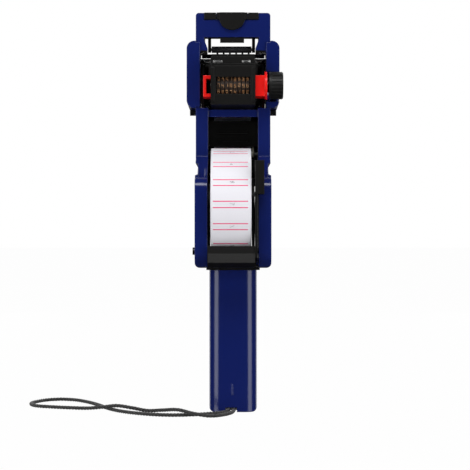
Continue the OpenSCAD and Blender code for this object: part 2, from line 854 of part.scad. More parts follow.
// The cord's route over the surface: out on one strand, round the loop, and back on the other.
lanyard_route = [
    [-2.2, -9.2, 1.2], [-2.3, -13.5, 1.1], [-3.8, -18.5, 1], [-7.4, -23, 1], [-13.6, -27, 1], [-21, -30, 1],
    [-29, -31.5, 1], [-37, -30.5, 1], [-45, -27, 1], [-53, -21.5, 1], [-60, -14, 1], [-66, -4, 1],
    [-72, 9, 1], [-79, 21, 1], [-87, 30, 1], [-96, 33, 1], [-104, 28, 1], [-108.5, 16, 1],
    [-105, 5.5, 1], [-96, 0.5, 1], [-86, -3, 1], [-76, -6.5, 1.2], [-68, -10, 2.2], [-60, -12.8, 3.3],
    [-52, -14.5, 2.4], [-44, -17, 1.3], [-36, -22, 2.2], [-28, -29, 3.3], [-20, -34.5, 2.2],
    [-11.8, -35, 1.1], [-5.4, -30.4, 1], [-1, -22.4, 1], [0.4, -14, 1.1], [0.3, -9.2, 1.2]
];

function blend(p, q, r, s, t) = 0.5 * (2 * q + (r - p) * t + (2 * p - 5 * q + 4 * r - s) * t * t
    + (3 * q - p - 3 * r + s) * t * t * t);
function near(list, i) = list[max(0, min(len(list) - 1, i))];
function smooth(list, steps) = [
    for (i = [0 : len(list) - 2], k = [0 : steps - 1])
        blend(near(list, i - 1), list[i], list[i + 1], near(list, i + 2), k / steps),
    list[len(list) - 1]
];

// A tube of sides corners swept along points.
module tube(points, r, sides) {
    n = len(points);
    function way(i) = let (d = near(points, i + 1) - near(points, i - 1)) d / norm(d);
    function flat(v) = v / norm(v);
    ups = [for (i = [0 : n - 1]) let (w = way(i), ref = abs(w[2]) > 0.9 ? [0, 1, 0] : [0, 0, 1])
        flat(ref - w * (w * ref))];
    rings = [for (i = [0 : n - 1]) let (w = way(i), u = ups[i], v = cross(w, u))
        for (k = [0 : sides - 1]) points[i] + r * (cos(360 * k / sides) * u + sin(360 * k / sides) * v)];
    walls = [for (i = [0 : n - 2], k = [0 : sides - 1])
        let (a = i * sides, b = a + sides, j = (k + 1) % sides)
        each [[a + k, b + k, b + j], [a + k, b + j, a + j]]];
    ends = [[for (k = [0 : sides - 1]) k], [for (k = [sides - 1 : -1 : 0]) (n - 1) * sides + k]];
    polyhedron(points = rings, faces = concat(walls, ends), convexity = 6);
}

module lanyard() {
    color([0.05, 0.05, 0.05]) tube(smooth(lanyard_route, 2), cord_d / 2, 8);
}

main_frame();
head_cover(-1, false);  // head_cover_left
head_cover(1, true);  // head_cover_right
nose_cap();
cover_latch();
latch_striker();
label_guide();
platen();
platen_pad();
peel_bar();
feed_axle();
feed_pawl();
pawl_pin();
pivot_pin(-1);  // pivot_pin_left
pivot_pin(1);  // pivot_pin_right
holder_pin();
cover_pin();
lanyard_post();
cover_screws();
label_strip();
trigger();
trigger_spring();
head_housing();
head_cap();
head_side(-1);  // head_side_left
head_side(1);  // head_side_right
clip_left();
clip_right();
band_sprockets();
type_wheels();
type_axle();
for (i = [1 : band_count]) band(i);
selector_collar();
selector_shaft();
selector_knob();
ink_arms();
ink_core();
ink_roller();
roll_holder();
holder_tab();
roll_hub();
label_roll();
roll_core();
feed_wheel();
ratchet_wheel();
base_cover();
pressure_plate();
applicator_axle();
applicator_roller();
lanyard();
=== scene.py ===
import json
import math

import bmesh
import bpy
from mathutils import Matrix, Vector


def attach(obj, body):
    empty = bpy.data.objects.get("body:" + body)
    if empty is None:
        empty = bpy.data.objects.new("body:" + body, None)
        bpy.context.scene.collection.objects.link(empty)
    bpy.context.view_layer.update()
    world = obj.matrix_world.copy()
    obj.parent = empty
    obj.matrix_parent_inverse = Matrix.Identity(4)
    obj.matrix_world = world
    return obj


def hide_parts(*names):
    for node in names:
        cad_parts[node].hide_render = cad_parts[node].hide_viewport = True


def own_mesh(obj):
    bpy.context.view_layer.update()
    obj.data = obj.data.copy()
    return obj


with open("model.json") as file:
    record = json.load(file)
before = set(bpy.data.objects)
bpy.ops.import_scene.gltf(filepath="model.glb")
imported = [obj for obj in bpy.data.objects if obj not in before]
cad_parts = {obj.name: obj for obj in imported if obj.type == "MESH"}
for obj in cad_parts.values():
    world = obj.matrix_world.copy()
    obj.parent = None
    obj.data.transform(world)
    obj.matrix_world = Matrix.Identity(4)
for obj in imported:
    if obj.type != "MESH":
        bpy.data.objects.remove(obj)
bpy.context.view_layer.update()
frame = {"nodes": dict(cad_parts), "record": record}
nodes = frame["nodes"]
MM = 0.001
BACKDROP = 1.0     # brightness of the white surroundings as the camera sees them
AMBIENT = 0.05     # the same surroundings as light on the object
ROLL = (-9, 106)   # the label roll's axis (y, z), in millimetres

# ---- camera ----

# no film curve: the picture keeps the colours as lit
bpy.context.scene.view_settings.view_transform = "Standard"

cam_data = bpy.data.cameras.new("view")
cam_data.sensor_width = 36
cam_data.lens = 101.87
cam_data.clip_start = 0.01
cam = bpy.data.objects.new("view", cam_data)
cam.location = (0.001, -0.7, 0.0915)
cam.rotation_euler = (math.radians(90), 0, 0)
bpy.context.scene.collection.objects.link(cam)
bpy.context.scene.camera = cam


# ---- mesh helpers ----

def piece(name, verts, faces, body, material, smooth=True):
    """A mesh object from points in millimetres, riding on a body."""
    mesh = bpy.data.meshes.new(name)
    mesh.from_pydata([tuple(c * MM for c in v) for v in verts], [], faces)
    bm = bmesh.new()
    bm.from_mesh(mesh)
    bmesh.ops.recalc_face_normals(bm, faces=bm.faces)
    bm.to_mesh(mesh)
    bm.free()
    obj = bpy.data.objects.new(name, mesh)
    bpy.context.scene.collection.objects.link(obj)
    if smooth:
        mesh.shade_smooth()
    mesh.materials.append(material)
    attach(obj, body)
    return obj


def tube_faces(rows, sides, closed=False):
    """Faces between rows of points, sides to a row; closed joins the last row to the first."""
    return [(i * sides + k, i * sides + (k + 1) % sides,
             (i + 1) % rows * sides + (k + 1) % sides, (i + 1) % rows * sides + k)
            for i in range(rows if closed else rows - 1) for k in range(sides)]


class Shape:
    """Points and faces gathered from several simple forms."""

    def __init__(self):
        self.v, self.f = [], []

    def add(self, verts, faces):
        n = len(self.v)
        self.v += [tuple(p) for p in verts]
        self.f += [tuple(i + n for i in face) for face in faces]

    def sweep(self, points, radius, sides):
        """A round tube along points, closed at both ends."""
        verts = []
        up = None
        last = len(points) - 1
        for i, point in enumerate(points):
            d = (points[min(i + 1, last)] - points[max(i - 1, 0)]).normalized()
            if up is None:
                up = d.orthogonal().normalized()
            up = (up - d * up.dot(d)).normalized()
            side = d.cross(up)
            for k in range(sides):
                a = 2 * math.pi * k / sides
                verts.append(point + radius * (math.cos(a) * up + math.sin(a) * side))
        ends = [tuple(range(sides - 1, -1, -1)), tuple(last * sides + k for k in range(sides))]
        self.add(verts, tube_faces(last + 1, sides) + ends)

    def turned(self, axis, profile, sides):
        """A ring turned about a line along X through axis (y, z); profile is (x, radius) points round it."""
        verts = []
        for x, r in profile:
            for k in range(sides):
                a = 2 * math.pi * k / sides
                verts.append((x, axis[0] + r * math.cos(a), axis[1] + r * math.sin(a)))
        self.add(verts, tube_faces(len(profile), sides, closed=True))

    def make(self, name, body, material, slot, smooth=True):
        return piece(name, self.v, self.f, body, material, smooth)


def smooth_line(points, steps):
    """Catmull-Rom points, the same curve as the CAD's."""
    padded = [points[0], *points, points[-1]]
    out = []
    for p, q, r, s in zip(padded, padded[1:], padded[2:], padded[3:]):
        for k in range(steps):
            t = k / steps
            out.append(0.5 * (2 * q + (r - p) * t + (2 * p - 5 * q + 4 * r - s) * t * t
                              + (3 * q - p - 3 * r + s) * t ** 3))
    out.append(points[-1])
    return out


# ---- materials ----

class Nodes:
    """Short calls for building a material's nodes."""

    def __init__(self, name):
        self.mat = bpy.data.materials.new(name)
        self.mat.use_nodes = True
        self.tree = self.mat.node_tree
        self.tree.nodes.clear()
        self.out = self.tree.nodes.new("ShaderNodeOutputMaterial")
        self.bsdf = self.tree.nodes.new("ShaderNodeBsdfPrincipled")
        self.tree.links.new(self.bsdf.outputs[0], self.out.inputs["Surface"])
        self.coord = self.tree.nodes.new("ShaderNodeTexCoord")

    def put(self, socket, value):
        if isinstance(value, bpy.types.NodeSocket):
            self.tree.links.new(value, socket)
        elif value is not None:
            socket.default_value = value

    def math(self, op, a, b=None, c=None):
        n = self.tree.nodes.new("ShaderNodeMath")
        n.operation = op
        for i, x in enumerate((a, b, c)):
            self.put(n.inputs[i], x)
        return n.outputs[0]

    def axes(self):
        n = self.tree.nodes.new("ShaderNodeSeparateXYZ")
        self.put(n.inputs[0], self.coord.outputs["Object"])
        return n.outputs[0], n.outputs[1], n.outputs[2]

    def stretched(self, scale):
        n = self.tree.nodes.new("ShaderNodeMapping")
        self.put(n.inputs["Vector"], self.coord.outputs["Object"])
        n.inputs["Scale"].default_value = scale
        return n.outputs[0]

    def noise(self, scale, detail=2.0, vector=None, rough=0.5):
        n = self.tree.nodes.new("ShaderNodeTexNoise")
        self.put(n.inputs["Vector"], vector or self.coord.outputs["Object"])
        n.inputs["Scale"].default_value = scale
        n.inputs["Detail"].default_value = detail
        n.inputs["Roughness"].default_value = rough
        return n.outputs["Fac"]

    def voronoi(self, scale):
        n = self.tree.nodes.new("ShaderNodeTexVoronoi")
        self.put(n.inputs["Vector"], self.coord.outputs["Object"])
        n.inputs["Scale"].default_value = scale
        return n.outputs["Distance"]

    def span(self, value, lo, hi, to_lo=0.0, to_hi=1.0):
        n = self.tree.nodes.new("ShaderNodeMapRange")
        self.put(n.inputs["Value"], value)
        n.inputs["From Min"].default_value = lo
        n.inputs["From Max"].default_value = hi
        n.inputs["To Min"].default_value = to_lo
        n.inputs["To Max"].default_value = to_hi
        return n.outputs[0]

    def between(self, value, lo, hi):
        a = self.math("GREATER_THAN", value, lo)
        b = self.math("LESS_THAN", value, hi)
        return self.math("MULTIPLY", a, b)

    def mix(self, fac, a, b, mode="MIX"):
        n = self.tree.nodes.new("ShaderNodeMix")
        n.data_type = "RGBA"
        n.blend_type = mode
        self.put(n.inputs[0], fac)
        for socket, value in ((n.inputs[6], a), (n.inputs[7], b)):
            if isinstance(value, tuple):
                socket.default_value = (*value, 1)
            else:
                self.put(socket, value)
        return n.outputs[2]

    def bump(self, height, distance, strength=1.0, normal=None):
        n = self.tree.nodes.new("ShaderNodeBump")
        self.put(n.inputs["Height"], height)
        n.inputs["Distance"].default_value = distance
        n.inputs["Strength"].default_value = strength
        self.put(n.inputs["Normal"], normal)
        return n.outputs[0]

    def finish(self, color, rough, normal=None, **plain):
        self.put(self.bsdf.inputs["Base Color"], (*color, 1) if isinstance(color, tuple) else color)
        self.put(self.bsdf.inputs["Roughness"], rough)
        self.put(self.bsdf.inputs["Normal"], normal)
        for name, value in plain.items():
            self.bsdf.inputs[name.replace("_", " ")].default_value = value
        return self.mat


def shaded(color, factor):
    """A colour made darker or lighter."""
    return tuple(min(1, c * factor) for c in color)


def moulded(name, color, edge, rough=0.24, grain=0.25, grain_scale=2600, inner=None, radius=0.35, level=0.5):
    """Moulded plastic: rounded edges, slight shade drift, fine grain, rubbed edges with a painted highlight
    on them, and faint handling marks.

    edge is the colour of rubbed edges and of a painted highlight on them, radius their rounding in
    millimetres, inner tells where it is painted black, in part as painted shadow.
    """
    m = Nodes(name)
    round_edge = m.tree.nodes.new("ShaderNodeBevel")
    round_edge.samples = 6
    round_edge.inputs["Radius"].default_value = radius * MM
    geo = m.tree.nodes.new("ShaderNodeNewGeometry")
    bend = m.tree.nodes.new("ShaderNodeVectorMath")
    bend.operation = "DOT_PRODUCT"
    m.put(bend.inputs[0], round_edge.outputs[0])
    m.put(bend.inputs[1], geo.outputs["True Normal"])
    on_edge = m.span(bend.outputs["Value"], 0.97, 0.82)
    drift = m.span(m.noise(16, 2), 0.3, 0.7)
    shade = m.mix(drift, shaded(color, 0.93), shaded(color, 1.06))
    # painted highlight and wear: edges are mixed towards the edge colour, which for the blue is far lighter
    # than its body
    edge_wear_and_highlight = m.math("MULTIPLY", on_edge, m.span(m.noise(340, 3), 0.4, 0.65, 0.15, 0.8))
    shade = m.mix(edge_wear_and_highlight, shade, edge)
    if inner:
        # black insides of the frame, and a painted shadow where the gap under the roll bay is painted black
        shade = m.mix(inner(m), shade, (0.006, 0.006, 0.006))
    marks = m.span(m.noise(1.0, 3, m.stretched((900, 900, 60))), 0.62, 0.74, 0, 0.025)
    handled = m.span(m.noise(40, 3), 0.35, 0.7, rough - 0.02, rough + 0.03)
    normal = m.bump(m.noise(grain_scale, 2), 0.00003, grain, round_edge.outputs[0])
    return m.finish(shade, m.math("ADD", handled, marks), normal, Specular_IOR_Level=level)


def metal(name, color, rough, along=(40, 3000, 3000)):
    """Drawn metal with fine lines; along is the grain's scale on each axis, lowest the way the lines run."""
    m = Nodes(name)
    lines = m.noise(1.0, 4, m.stretched(along))
    shade = m.mix(m.span(m.noise(120, 3), 0.35, 0.65), shaded(color, 0.82), color)
    gloss = m.span(lines, 0.3, 0.7, rough - 0.06, rough + 0.1)
    return m.finish(shade, gloss, m.bump(lines, 0.00002, 0.5), Metallic=1.0)


def rubber(name, color):
    m = Nodes(name)
    shade = m.mix(m.noise(160, 3), shaded(color, 0.75), shaded(color, 1.3))
    gloss = m.span(m.noise(400, 2), 0.3, 0.7, 0.62, 0.82)
    return m.finish(shade, gloss, m.bump(m.noise(1500, 3), 0.0001, 0.6))


def foam(name, color):
    m = Nodes(name)
    cells = m.voronoi(2600)
    wet = m.noise(240, 3)
    shade = m.mix(m.span(cells, 0.1, 0.6), shaded(color, 0.4), color)
    return m.finish(shade, m.span(wet, 0.35, 0.65, 0.35, 0.75), m.bump(cells, 0.0002, 0.8))


# where the frame is painted black inside, one place as painted shadow: the distance from its middle, and the
# two heights, in metres
BLACK_AND_SHADED_INSIDES = (
    # painted shadow: the frame is painted black in the gap under the roll bay, where shade falls
    (0.01440, 0.0733, 0.0752),    # the gap under the roll bay
    (0.01296, 0.0745, 0.1525),    # the roll bay's liners
    (0.01685, 0.1576, 0.1870),    # the walls beside the print head
)


# the frame's black insides, with a painted shadow in the gap under the roll bay
def inner_of_frame(m):
    x, _, z = m.axes()
    across = m.math("ABSOLUTE", x)
    black = 0.0
    for reach, low, high in BLACK_AND_SHADED_INSIDES:
        inside = m.math("MULTIPLY", m.math("LESS_THAN", across, reach), m.between(z, low, high))
        black = m.math("MAXIMUM", black, inside)
    return black


# the light edge colour paints highlights along the edges, as well as rubbed wear
blue = moulded("blue_plastic", (0.0036, 0.0105, 0.102), (0.05, 0.08, 0.32), rough=0.2, radius=0.5,
               inner=inner_of_frame)
black = moulded("black_plastic", (0.0045, 0.0043, 0.004), (0.02, 0.02, 0.02), rough=0.4, grain=0.5,
                grain_scale=1800, level=0.22)
black_gloss = moulded("black_pins", (0.004, 0.004, 0.004), (0.02, 0.02, 0.02), rough=0.25)
knob_black = moulded("knob_plastic", (0.0045, 0.0044, 0.0042), (0.03, 0.03, 0.03), rough=0.45, grain=0.5,
                     radius=0.15, level=0.35)
red = moulded("red_plastic", (0.88, 0.004, 0.001), (0.9, 0.03, 0.012), rough=0.32)
ivory = moulded("ivory_plastic", (0.62, 0.59, 0.5), (0.75, 0.73, 0.65), rough=0.42, radius=0.15)
steel = metal("steel", (0.62, 0.62, 0.61), 0.24)
spring_steel = metal("spring_steel", (0.66, 0.66, 0.67), 0.18, (3000, 60, 3000))
pad_rubber = rubber("pad_rubber", (0.02, 0.02, 0.02))
ink_foam = foam("ink_foam", (0.016, 0.016, 0.02))


def band_material():
    m = Nodes("band_rubber")
    shade = m.mix(m.noise(420, 3), (0.010, 0.005, 0.003), (0.03, 0.014, 0.007))
    gloss = m.span(m.noise(900, 2), 0.3, 0.7, 0.38, 0.6)
    return m.finish(shade, gloss, m.bump(m.noise(3000, 2), 0.00005, 0.4))


def type_material():
    """Raised figures: bronze-brown, in patches paler and darker."""
    m = Nodes("type_face")
    shade = m.mix(m.span(m.noise(700, 3), 0.35, 0.65), (0.42, 0.2, 0.08), (0.85, 0.5, 0.26))
    gloss = m.span(m.noise(1100, 2), 0.3, 0.7, 0.28, 0.5)
    return m.finish(shade, gloss, m.bump(m.noise(3200, 2), 0.00004, 0.4), Metallic=0.25)


LABELS = 17                     # labels once round the roll
ROLL_TURN = 0.06                # how far the roll is turned, in labels
LABEL_PITCH = 0.0106            # one label's length on the flat strip, in metres
RULE_AT = 0.14                  # the pink rules' distance from a label's middle, in labels
PRINTED = (-0.0100, 0.0075)     # the rules' two ends across the label, in metres
WRAP_EDGE = 0.03025             # radius past which the roll shows its outermost labels, in metres


def paper_base(m):
    """White paper's colour, gloss and surface, all from one layer of fibres."""
    fibres = m.noise(1.0, 4, m.stretched((2600, 900, 900)), 0.6)
    color = m.mix(fibres, (0.78, 0.77, 0.82), (0.83, 0.82, 0.87))
    return color, m.span(fibres, 0.3, 0.7, 0.46, 0.6), m.bump(fibres, 0.00003, 0.35)


def roll_material():
    """White labels with pairs of pink rules across, and the roll's wound edge at its two ends."""
    m = Nodes("label_paper")
    x, y, z = m.axes()
    dy = m.math("SUBTRACT", ROLL[0] * MM, y)
    dz = m.math("SUBTRACT", z, ROLL[1] * MM)
    radius = m.math("SQRT", m.math("ADD", m.math("MULTIPLY", dy, dy), m.math("MULTIPLY", dz, dz)))
    outside = m.math("GREATER_THAN", radius, WRAP_EDGE)
    turn = m.math("MULTIPLY", m.math("ARCTAN2", dz, dy), LABELS / (2 * math.pi))
    label = m.math("SUBTRACT", m.math("FRACT", m.math("ADD", turn, LABELS + 0.5 - ROLL_TURN)), 0.5)
    paper, gloss, normal = paper_base(m)

    rings = m.span(m.math("SINE", m.math("MULTIPLY", radius, 38000)), -1, 1)
    wound = m.math("MULTIPLY", rings, m.math("SUBTRACT", 1.0, outside))
    paper = m.mix(m.math("MULTIPLY", wound, 0.4), paper, (0.55, 0.52, 0.5))

    rule = m.math("COMPARE", m.math("ABSOLUTE", label), RULE_AT, 0.023)
    ink = m.math("MULTIPLY", m.math("MULTIPLY", rule, m.between(x, *PRINTED)), outside)
    ink = m.math("MULTIPLY", ink, m.span(m.noise(900, 3), 0.3, 0.5, 0.85, 1))
    paper = m.mix(ink, paper, (0.80, 0.02, 0.16))

    along = m.math("LESS_THAN", m.math("ABSOLUTE", m.math("SUBTRACT", label, 0.015)), 0.05)
    spot = m.math("MULTIPLY", m.math("MULTIPLY", m.between(x, -0.0016, 0.0008), along), outside)
    mark = m.math("MULTIPLY", spot, m.span(m.noise(1900, 1), 0.5, 0.58))
    paper = m.mix(m.math("MULTIPLY", mark, 0.75), paper, (0.12, 0.12, 0.14))
    return m.finish(paper, gloss, m.bump(wound, 0.00008, 0.5, normal))


def strip_material():
    """The same labels on the strip that runs up to the peel bar."""
    m = Nodes("label_strip_paper")
    x, _, z = m.axes()
    label = m.math("SUBTRACT", m.math("FRACT", m.math("MULTIPLY", z, 1 / LABEL_PITCH)), 0.5)
    rule = m.math("COMPARE", m.math("ABSOLUTE", label), RULE_AT, 0.015)
    ink = m.math("MULTIPLY", rule, m.between(x, *PRINTED))
    paper, gloss, normal = paper_base(m)
    paper = m.mix(m.math("MULTIPLY", ink, 0.8), paper, (0.83, 0.16, 0.29))
    return m.finish(paper, gloss, normal)


def card_material():
    m = Nodes("core_card")
    _, _, normal = paper_base(m)
    shade = m.mix(m.noise(300, 4), (0.36, 0.25, 0.14), (0.52, 0.39, 0.24))
    return m.finish(shade, 0.8, normal)


def cord_material():
    m = Nodes("cord_black")
    yarn = m.noise(1.0, 3, m.stretched((2400, 2400, 2400)))
    shade = m.mix(m.span(yarn, 0.3, 0.7), (0.004, 0.004, 0.004), (0.028, 0.027, 0.026))
    return m.finish(shade, m.span(yarn, 0.3, 0.7, 0.6, 0.85), m.bump(yarn, 0.00015, 0.7), Sheen_Weight=0.3,
                    Sheen_Roughness=0.5)


band_rubber = band_material()
type_face = type_material()
label_paper = roll_material()
strip_paper = strip_material()
core_card = card_material()
cord_black = cord_material()

BY_SLOT = {
    "blue_plastic": blue,
    "black_plastic": black,
    "black_pins": black_gloss,
    "knob_plastic": knob_black,
    "pad_rubber": pad_rubber,
    "ink_foam": ink_foam,
    "steel": steel,
    "red_plastic": red,
    "band_rubber": band_rubber,
    "ivory_plastic": ivory,
    "label_paper": strip_paper,
    "core_card": core_card,
    "cord_black": cord_black,
}
for part in frame["record"]["subparts"]:
    mesh = nodes[part["node"]].data
    mesh.materials.clear()
    mesh.materials.append(BY_SLOT[part["material_slot"]])

# ---- wrist cord ----

ROUTE = [
    (-2.2, -9.2, 1.2), (-2.3, -13.5, 1.1), (-3.8, -18.5, 1), (-7.4, -23, 1), (-13.6, -27, 1), (-21, -30, 1),
    (-29, -31.5, 1), (-37, -30.5, 1), (-45, -27, 1), (-53, -21.5, 1), (-60, -14, 1), (-66, -4, 1),
    (-72, 9, 1), (-79, 21, 1), (-87, 30, 1), (-96, 33, 1), (-104, 28, 1), (-108.5, 16, 1),
    (-105, 5.5, 1), (-96, 0.5, 1), (-86, -3, 1), (-76, -6.5, 1.2), (-68, -10, 2.2), (-60, -12.8, 3.3),
    (-52, -14.5, 2.4), (-44, -17, 1.3), (-36, -22, 2.2), (-28, -29, 3.3), (-20, -34.5, 2.2),
    (-11.8, -35, 1.1), (-5.4, -30.4, 1), (-1, -22.4, 1), (0.4, -14, 1.1), (0.3, -9.2, 1.2),
]
cord_line = smooth_line([Vector(p) for p in ROUTE], 24)


def evenly(points, step):
    """The same line with points a fixed distance apart."""
    out, need = [points[0]], step
    for a, b in zip(points, points[1:]):
        length = (b - a).length
        done = 0.0
        while length - done >= need:
            done += need
            out.append(a.lerp(b, done / length))
            need = step
        need -= length - done
    return out


def twisted(points, strands, lay, offset, radius, sides):
    """Strands laid round a line at an offset from it, one full turn every lay millimetres."""
    shape = Shape()
    up = Vector((0, 0, 1))
    last = len(points) - 1
    for strand in range(strands):
        line, way = [], 0.0
        for i, p in enumerate(points):
            d = (points[min(i + 1, last)] - points[max(i - 1, 0)]).normalized()
            side = d.cross(up).normalized()
            lift = side.cross(d)
            if i:
                way += (p - points[i - 1]).length
            a = 2 * math.pi * (way / lay + strand / strands)
            line.append(p + offset * (math.cos(a) * side + math.sin(a) * lift))
        shape.sweep(line, radius, sides)
    return shape


cord_points = evenly(cord_line, 0.45)
strands = twisted(cord_points, strands=3, lay=5.2, offset=0.5, radius=0.5, sides=7)
cord = strands.make("wrist_cord", "frame", cord_black, "cord_black")
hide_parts("lanyard")

# ---- label roll ----

ROLL_ENDS = (-11.3, 9.3)        # x of the roll's two flat ends
WRAPS = (12.72, 30.36)          # radius of the innermost and the outermost wrap
LABEL_ENDS = (-10.7, 8.7)       # x of a label's two ends
LABEL_LAYER = (30.3, 30.49)     # radius of the single labels' two faces
LABEL_GAP = 0.45                # gap between two labels, along the roll


def label_roll():
    """The wound roll: fine steps of the wraps at its ends, and single labels standing proud outside."""
    shape = Shape()
    inset, steps = 0.12, 44
    left, right = [], []
    for i in range(steps + 1):
        r = WRAPS[0] + (WRAPS[1] - WRAPS[0]) * i / steps
        left.append((ROLL_ENDS[0] + inset + 0.05 * (math.sin(i * 2.4) + math.sin(i * 0.71)), r))
        right.append((ROLL_ENDS[1] - inset + 0.05 * (math.sin(i * 1.9 + 1) + math.sin(i * 0.53)), r))
    shape.turned(ROLL, left + right[::-1], sides=144)
    half_gap = LABEL_GAP / 2 / 30.5
    for i in range(LABELS):
        start = math.radians((i + ROLL_TURN) * 360 / LABELS) + half_gap
        end = math.radians((i + 1 + ROLL_TURN) * 360 / LABELS) - half_gap
        patch(shape, start, end)
    return shape


def patch(shape, start, end, steps=10):
    """One label: a curved plate on the roll from one angle to another, its corners nipped."""
    top, low = [], []
    for i in range(steps + 1):
        a = start + (end - start) * i / steps
        nip = 0.5 if i in (0, steps) else 0.0
        for ring, r in ((low, LABEL_LAYER[0]), (top, LABEL_LAYER[1])):
            y, z = ROLL[0] - r * math.cos(a), ROLL[1] + r * math.sin(a)
            ring += [(LABEL_ENDS[0] + nip, y, z), (LABEL_ENDS[1] - nip, y, z)]
    n = len(top)
    faces = []
    for i in range(0, n - 2, 2):
        faces += [(i, i + 1, i + 3, i + 2), (n + i, n + i + 2, n + i + 3, n + i + 1),
                  (i, i + 2, n + i + 2, n + i), (i + 1, n + i + 1, n + i + 3, i + 3)]
    faces += [(0, n, n + 1, 1), (n - 2, n - 1, 2 * n - 1, 2 * n - 2)]
    shape.add(top + low, faces)


roll = label_roll().make("label_roll_paper", "label_roll", label_paper, "label_paper", smooth=False)
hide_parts("label_roll")

# ---- digit bands: raised figures round each band ----

# the belt runs round two centres (y, z); BELT_R is its outer radius there
FRONT, BACK, BELT_R = Vector((-18, 168.1)), Vector((1.2, 170)), 6.2
BANDS = 8
BAND_PITCH = 2.1                # from one band's middle to the next, along X
FIGURES = 24                    # figures once round a band
HALF_WIDTH, HALF_HEIGHT = 0.9, 0.72     # what the strokes' ends below are multiplied by
HALF_STROKE = 0.12
FIGURE_LIFTS = (-0.05, 0.42)    # a stroke's foot and its top, above the belt

# the seven strokes of a figure, each from one end to the other
SEGMENTS = {
    "a": ((-0.5, 1.0), (0.5, 1.0)), "b": ((0.5, 1.0), (0.5, 0.0)), "c": ((0.5, 0.0), (0.5, -1.0)),
    "d": ((-0.5, -1.0), (0.5, -1.0)), "e": ((-0.5, 0.0), (-0.5, -1.0)), "f": ((-0.5, 1.0), (-0.5, 0.0)),
    "g": ((-0.5, 0.0), (0.5, 0.0)),
}
DIGITS = ["abcdef", "bc", "abged", "abgcd", "fgbc", "afgcd", "afgedc", "abc", "abcdefg", "abcdfg"]


def on_belt(s, lift):
    """The point (y, z) at length s round the belt from the middle of its front, lift above its outside."""
    run = (BACK - FRONT).length
    d = (BACK - FRONT) / run
    n = Vector((-d.y, d.x))
    quarter = math.pi / 2 * BELT_R
    r = BELT_R + lift
    total = 2 * run + 4 * quarter
    s = (s + total / 2) % total - total / 2
    side = 1 if s >= 0 else -1
    t = abs(s)
    if t < quarter:
        a = t / BELT_R
        return FRONT + r * (-d * math.cos(a) + side * n * math.sin(a))
    if t < quarter + run:
        return FRONT + d * (t - quarter) + side * n * r
    a = (t - quarter - run) / BELT_R
    return BACK + r * (side * n * math.cos(a) + d * math.sin(a))


def belt_block(shape, x0, x1, s0, s1, top_inset=0.06):
    """A raised block on the belt from x0 to x1 and s0 to s1, narrower at its top."""
    verts = []
    for lift, inset in zip(FIGURE_LIFTS, (0.0, top_inset)):
        for s in (s0 + inset, s1 - inset):
            p = on_belt(s, lift)
            verts += [(x0 + inset, p.x, p.y), (x1 - inset, p.x, p.y)]
    shape.add(verts, [(0, 1, 3, 2), (4, 6, 7, 5), (0, 4, 5, 1), (2, 3, 7, 6), (0, 2, 6, 4), (1, 5, 7, 3)])


def figures(band):
    """One band's figures, in a mixed order and a little out of line with the next band's."""
    shape = Shape()
    x = (band - (BANDS + 1) / 2) * BAND_PITCH
    total = 2 * (BACK - FRONT).length + 2 * math.pi * BELT_R
    shift = 0.15 * math.sin(band * 2.3)
    for i in range(FIGURES):
        s = i * total / FIGURES + shift
        for stroke in DIGITS[(i * 3 + band * 7) % 10]:
            (xa, va), (xb, vb) = SEGMENTS[stroke]
            xa, xb = xa * HALF_WIDTH, xb * HALF_WIDTH
            va, vb = va * HALF_HEIGHT, vb * HALF_HEIGHT
            belt_block(shape, x + min(xa, xb) - HALF_STROKE, x + max(xa, xb) + HALF_STROKE,
                       s + min(va, vb) - HALF_STROKE, s + max(va, vb) + HALF_STROKE)
    return shape


for band in range(1, BANDS + 1):
    figures(band).make("band_%d_figures" % band, "print_head", type_face, "band_rubber", smooth=False)


# ---- leaf springs that press the bands' detents, in the recess above the window ----

LEAF_PLACE = (-23.35, 179.3)    # y of a leaf's front face at its ends, z of its lower edge
LEAF_THICK, LEAF_WIDE, LEAF_BOW = 0.25, 1.1, 0.3


def leaf(x0, x1):
    """A strip of thin steel, bowed forward in its middle."""
    shape = Shape()
    steps = 12
    y, z = LEAF_PLACE
    verts = []
    for i in range(steps + 1):
        t = i / steps
        bow = LEAF_BOW * math.sin(math.pi * t)
        for dy in (0.0, LEAF_THICK):
            for dz in (0.0, LEAF_WIDE):
                verts.append((x0 + (x1 - x0) * t, y - bow + dy, z + dz))
    faces = []
    for a in range(0, 4 * steps, 4):
        b = a + 4
        faces += [(a, a + 1, b + 1, b), (a + 2, b + 2, b + 3, a + 3),
                  (a, b, b + 2, a + 2), (a + 1, a + 3, b + 3, b + 1)]
    end = 4 * steps
    faces += [(0, 2, 3, 1), (end, end + 1, end + 3, end + 2)]
    shape.add(verts, faces)
    return shape


for name, x0, x1 in (("leaf_spring_left", -10.2, -5.4), ("leaf_spring_right", 4.6, 8.8)):
    leaf(x0, x1).make(name, "print_head", steel, "steel", smooth=False)

# ---- trigger spring ----

def coil(y0, y1, z, radius, wire, turns):
    """A spring along Y at a height z, its turns closer at both ends; wire is the wire's radius."""
    shape = Shape()
    line = []
    steps, sides = 28, 10
    close = 0.08    # share of the length, at each end, where the turns are half as far apart
    for i in range(turns * steps + 1):
        t = i / (turns * steps)
        along = t
        if t <= close:
            along = 0.5 * t + 0.5 * close
        elif t >= 1 - close:
            along = 0.5 * t + 0.5 * (1 - close)
        a = 2 * math.pi * i / steps
        y = y0 + wire + (y1 - y0 - 2 * wire) * along
        line.append(Vector((radius * math.cos(a), y, z + radius * math.sin(a))))
    shape.sweep(line, wire, sides)
    return shape


spring_coil = coil(y0=7, y1=39.5, z=58, radius=4.2, wire=0.5, turns=8)
spring = spring_coil.make("trigger_spring_coil", "frame", spring_steel, "steel")
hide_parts("trigger_spring")
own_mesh(spring)

# ---- rounded edges on the plastic mouldings ----

SHARP = 35      # an edge that bends more than this many degrees is rounded


